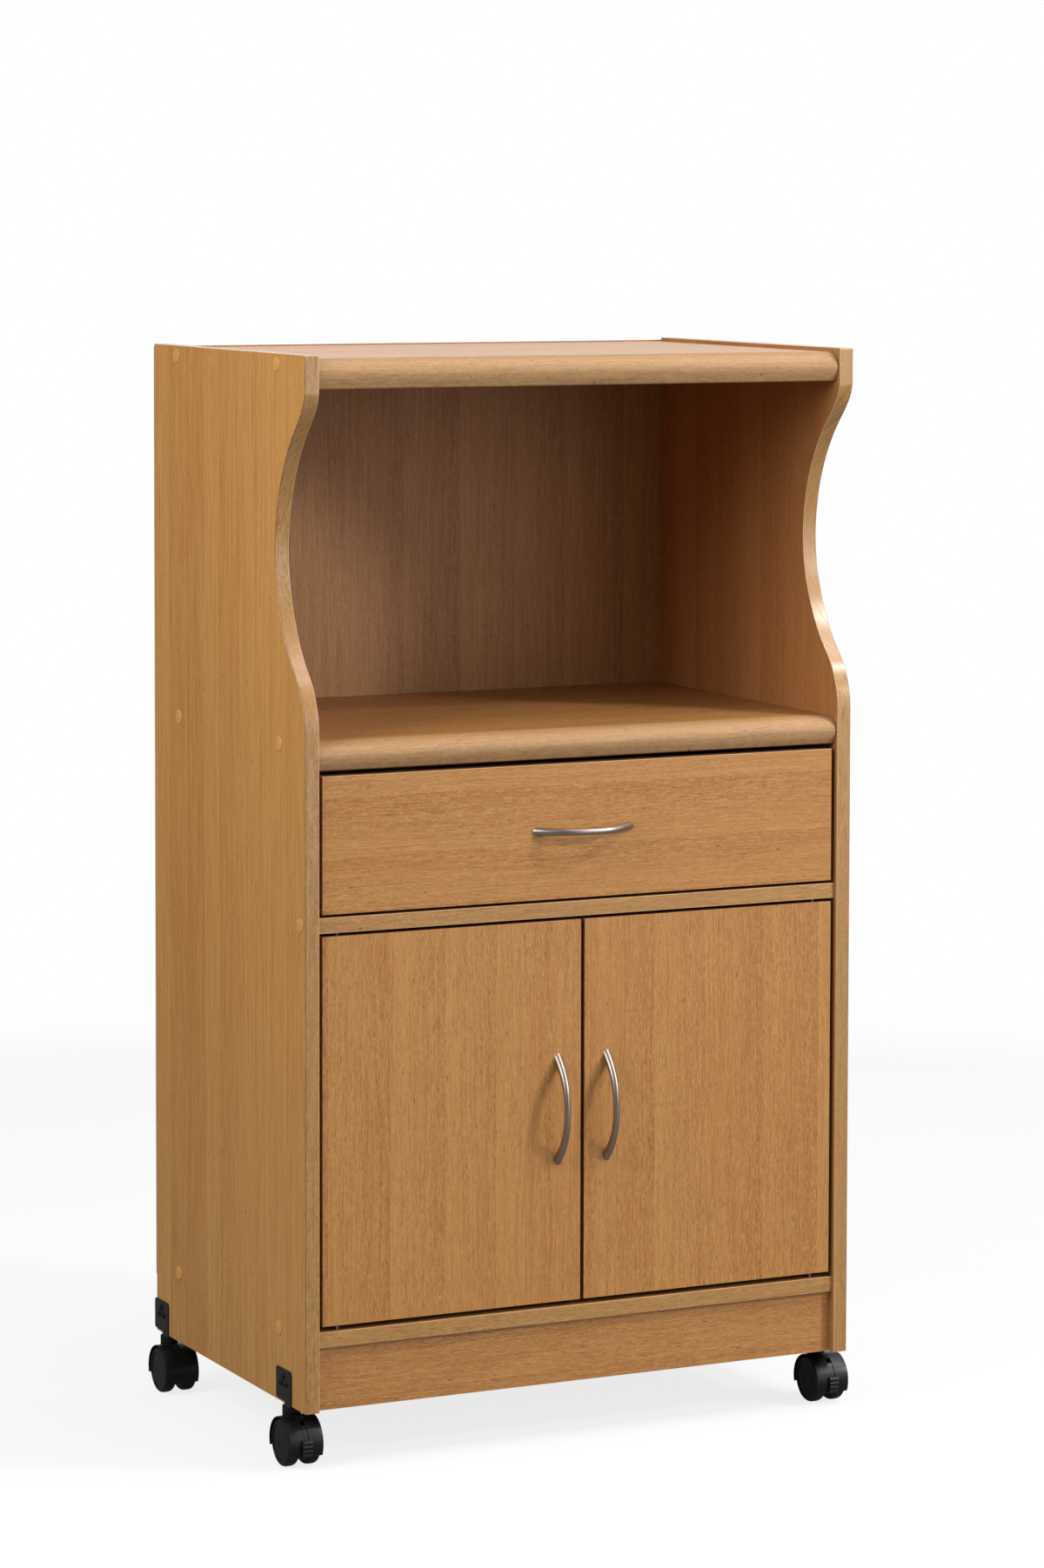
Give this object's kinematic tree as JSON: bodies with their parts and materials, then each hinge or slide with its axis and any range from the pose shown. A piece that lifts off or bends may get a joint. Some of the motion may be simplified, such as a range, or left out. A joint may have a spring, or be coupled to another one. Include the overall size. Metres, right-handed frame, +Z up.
{
  "type": "microwave cart",
  "caption": "Tall wood-look kitchen cart with an open appliance bay under a top board, a drawer, a two-door cupboard with a shelf and swivel casters.",
  "frame": {"origin": "on the floor, at the middle of the footprint of the whole cart, handles included", "axes": "+Z up, front looks along -Y, +X to the right as seen from the front"},
  "size_m": [0.637, 0.4214, 1.108],
  "materials": {
    "beech_laminate": "satin beech-look foil",
    "beech_nosing": "satin beech-look foil wrapped round a rounded rail",
    "drawer_board": "satin foil",
    "hardboard": "printed brown face, plain board behind",
    "satin_nickel": "satin nickel plate",
    "zinc_plate": "bright zinc plate",
    "white_steel": "powder coat",
    "nylon": "moulded nylon",
    "black_steel": "black powder coat",
    "black_plastic": "moulded, fine grain",
    "black_tread": "moulded nylon wheel"
  },
  "bodies": {
    "cabinet": {"left_side_panel": "beech_laminate", "right_side_panel": "beech_laminate", "top_panel": "beech_laminate", "top_nosing": "beech_nosing", "microwave_shelf": "beech_laminate", "shelf_nosing": "beech_nosing", "divider_rail": "beech_laminate", "bottom_panel": "beech_laminate", "toe_kick": "beech_laminate", "back_panel": "hardboard", "inner_shelf": "beech_laminate", "shelf_peg_left_front": "zinc_plate", "shelf_peg_left_rear": "zinc_plate", "shelf_peg_right_front": "zinc_plate", "shelf_peg_right_rear": "zinc_plate", "cabinet_runner_left": "white_steel", "cabinet_runner_right": "white_steel", "door_pivot_pin_left_upper": "zinc_plate", "door_pivot_pin_left_lower": "zinc_plate", "door_pivot_pin_right_upper": "zinc_plate", "door_pivot_pin_right_lower": "zinc_plate", "magnetic_catch": "black_plastic", "caster_bracket_front_left": "black_steel", "caster_bracket_front_right": "black_steel", "caster_bracket_rear_left": "black_steel", "caster_bracket_rear_right": "black_steel"},
    "drawer": {"drawer_front": "beech_laminate", "drawer_side_left": "drawer_board", "drawer_side_right": "drawer_board", "drawer_back": "drawer_board", "drawer_bottom": "hardboard", "drawer_handle": "satin_nickel", "drawer_runner_left": "white_steel", "drawer_runner_right": "white_steel"},
    "runner_roller_front_left": {"runner_roller_front_left": "nylon"},
    "runner_roller_rear_left": {"runner_roller_rear_left": "nylon"},
    "runner_roller_front_right": {"runner_roller_front_right": "nylon"},
    "runner_roller_rear_right": {"runner_roller_rear_right": "nylon"},
    "door_left": {"door_left": "beech_laminate", "door_handle_left": "satin_nickel"},
    "door_right": {"door_right": "beech_laminate", "door_handle_right": "satin_nickel"},
    "caster_front_left": {"caster_hood_front_left": "black_plastic", "caster_axle_front_left": "zinc_plate"},
    "wheel_front_left_outer": {"wheel_front_left_outer": "black_tread"},
    "wheel_front_left_inner": {"wheel_front_left_inner": "black_tread"},
    "brake_pedal_front_left": {"brake_pedal_front_left": "black_plastic"},
    "caster_front_right": {"caster_hood_front_right": "black_plastic", "caster_axle_front_right": "zinc_plate"},
    "wheel_front_right_outer": {"wheel_front_right_outer": "black_tread"},
    "wheel_front_right_inner": {"wheel_front_right_inner": "black_tread"},
    "brake_pedal_front_right": {"brake_pedal_front_right": "black_plastic"},
    "caster_rear_left": {"caster_hood_rear_left": "black_plastic", "caster_axle_rear_left": "zinc_plate"},
    "wheel_rear_left_outer": {"wheel_rear_left_outer": "black_tread"},
    "wheel_rear_left_inner": {"wheel_rear_left_inner": "black_tread"},
    "caster_rear_right": {"caster_hood_rear_right": "black_plastic", "caster_axle_rear_right": "zinc_plate"},
    "wheel_rear_right_outer": {"wheel_rear_right_outer": "black_tread"},
    "wheel_rear_right_inner": {"wheel_rear_right_inner": "black_tread"}
  },
  "joints": [
    {"name": "drawer_slide", "type": "slide", "parent": "cabinet", "child": "drawer", "axis": [0, -1, 0], "range_m": [0, 0.26]},
    {"name": "runner_roller_front_left_spin", "type": "hinge", "parent": "cabinet", "child": "runner_roller_front_left", "pos_m": [-0.2849, -0.15525, 0.5712], "axis": [1, 0, 0], "range_deg": [-20, 1800]},
    {"name": "runner_roller_rear_left_spin", "type": "hinge", "parent": "drawer", "child": "runner_roller_rear_left", "pos_m": [-0.2849, 0.16875, 0.5708], "axis": [1, 0, 0], "range_deg": [-20, 1800]},
    {"name": "runner_roller_front_right_spin", "type": "hinge", "parent": "cabinet", "child": "runner_roller_front_right", "pos_m": [0.2849, -0.15525, 0.5712], "axis": [1, 0, 0], "range_deg": [-20, 1800]},
    {"name": "runner_roller_rear_right_spin", "type": "hinge", "parent": "drawer", "child": "runner_roller_rear_right", "pos_m": [0.2849, 0.16875, 0.5708], "axis": [1, 0, 0], "range_deg": [-20, 1800]},
    {"name": "door_left_hinge", "type": "hinge", "parent": "cabinet", "child": "door_left", "pos_m": [-0.2689, -0.17795, 0.3397], "axis": [0, 0, -1], "range_deg": [0, 125]},
    {"name": "door_right_hinge", "type": "hinge", "parent": "cabinet", "child": "door_right", "pos_m": [0.2689, -0.17795, 0.3397], "axis": [0, 0, 1], "range_deg": [0, 125]},
    {"name": "caster_front_left_swivel", "type": "hinge", "parent": "cabinet", "child": "caster_front_left", "pos_m": [-0.3, -0.13725, 0.052], "axis": [0, 0, 1], "continuous": true},
    {"name": "wheel_front_left_outer_spin", "type": "hinge", "parent": "caster_front_left", "child": "wheel_front_left_outer", "pos_m": [-0.31145, -0.14925, 0.024], "axis": [1, 0, 0], "continuous": true},
    {"name": "wheel_front_left_inner_spin", "type": "hinge", "parent": "caster_front_left", "child": "wheel_front_left_inner", "pos_m": [-0.28855, -0.14925, 0.024], "axis": [1, 0, 0], "continuous": true},
    {"name": "brake_pedal_front_left_tip", "type": "hinge", "parent": "caster_front_left", "child": "brake_pedal_front_left", "pos_m": [-0.3, -0.16578, 0.04112], "axis": [-1, 0, 0], "range_deg": [0, 15]},
    {"name": "caster_front_right_swivel", "type": "hinge", "parent": "cabinet", "child": "caster_front_right", "pos_m": [0.3, -0.13725, 0.052], "axis": [0, 0, 1], "continuous": true},
    {"name": "wheel_front_right_outer_spin", "type": "hinge", "parent": "caster_front_right", "child": "wheel_front_right_outer", "pos_m": [0.31145, -0.14925, 0.024], "axis": [1, 0, 0], "continuous": true},
    {"name": "wheel_front_right_inner_spin", "type": "hinge", "parent": "caster_front_right", "child": "wheel_front_right_inner", "pos_m": [0.28855, -0.14925, 0.024], "axis": [1, 0, 0], "continuous": true},
    {"name": "brake_pedal_front_right_tip", "type": "hinge", "parent": "caster_front_right", "child": "brake_pedal_front_right", "pos_m": [0.3, -0.16578, 0.04112], "axis": [-1, 0, 0], "range_deg": [0, 15]},
    {"name": "caster_rear_left_swivel", "type": "hinge", "parent": "cabinet", "child": "caster_rear_left", "pos_m": [-0.3, 0.19125, 0.052], "axis": [0, 0, 1], "continuous": true},
    {"name": "wheel_rear_left_outer_spin", "type": "hinge", "parent": "caster_rear_left", "child": "wheel_rear_left_outer", "pos_m": [-0.31145, 0.17925, 0.024], "axis": [1, 0, 0], "continuous": true},
    {"name": "wheel_rear_left_inner_spin", "type": "hinge", "parent": "caster_rear_left", "child": "wheel_rear_left_inner", "pos_m": [-0.28855, 0.17925, 0.024], "axis": [1, 0, 0], "continuous": true},
    {"name": "caster_rear_right_swivel", "type": "hinge", "parent": "cabinet", "child": "caster_rear_right", "pos_m": [0.3, 0.19125, 0.052], "axis": [0, 0, 1], "continuous": true},
    {"name": "wheel_rear_right_outer_spin", "type": "hinge", "parent": "caster_rear_right", "child": "wheel_rear_right_outer", "pos_m": [0.31145, 0.17925, 0.024], "axis": [1, 0, 0], "continuous": true},
    {"name": "wheel_rear_right_inner_spin", "type": "hinge", "parent": "caster_rear_right", "child": "wheel_rear_right_inner", "pos_m": [0.28855, 0.17925, 0.024], "axis": [1, 0, 0], "continuous": true}
  ],
  "couplings": [
    {"joint": "runner_roller_front_left_spin", "follows": "drawer_slide", "rad_per_m": 117.65},
    {"joint": "runner_roller_rear_left_spin", "follows": "drawer_slide", "rad_per_m": 117.65},
    {"joint": "runner_roller_front_right_spin", "follows": "drawer_slide", "rad_per_m": 117.65},
    {"joint": "runner_roller_rear_right_spin", "follows": "drawer_slide", "rad_per_m": 117.65}
  ]
}
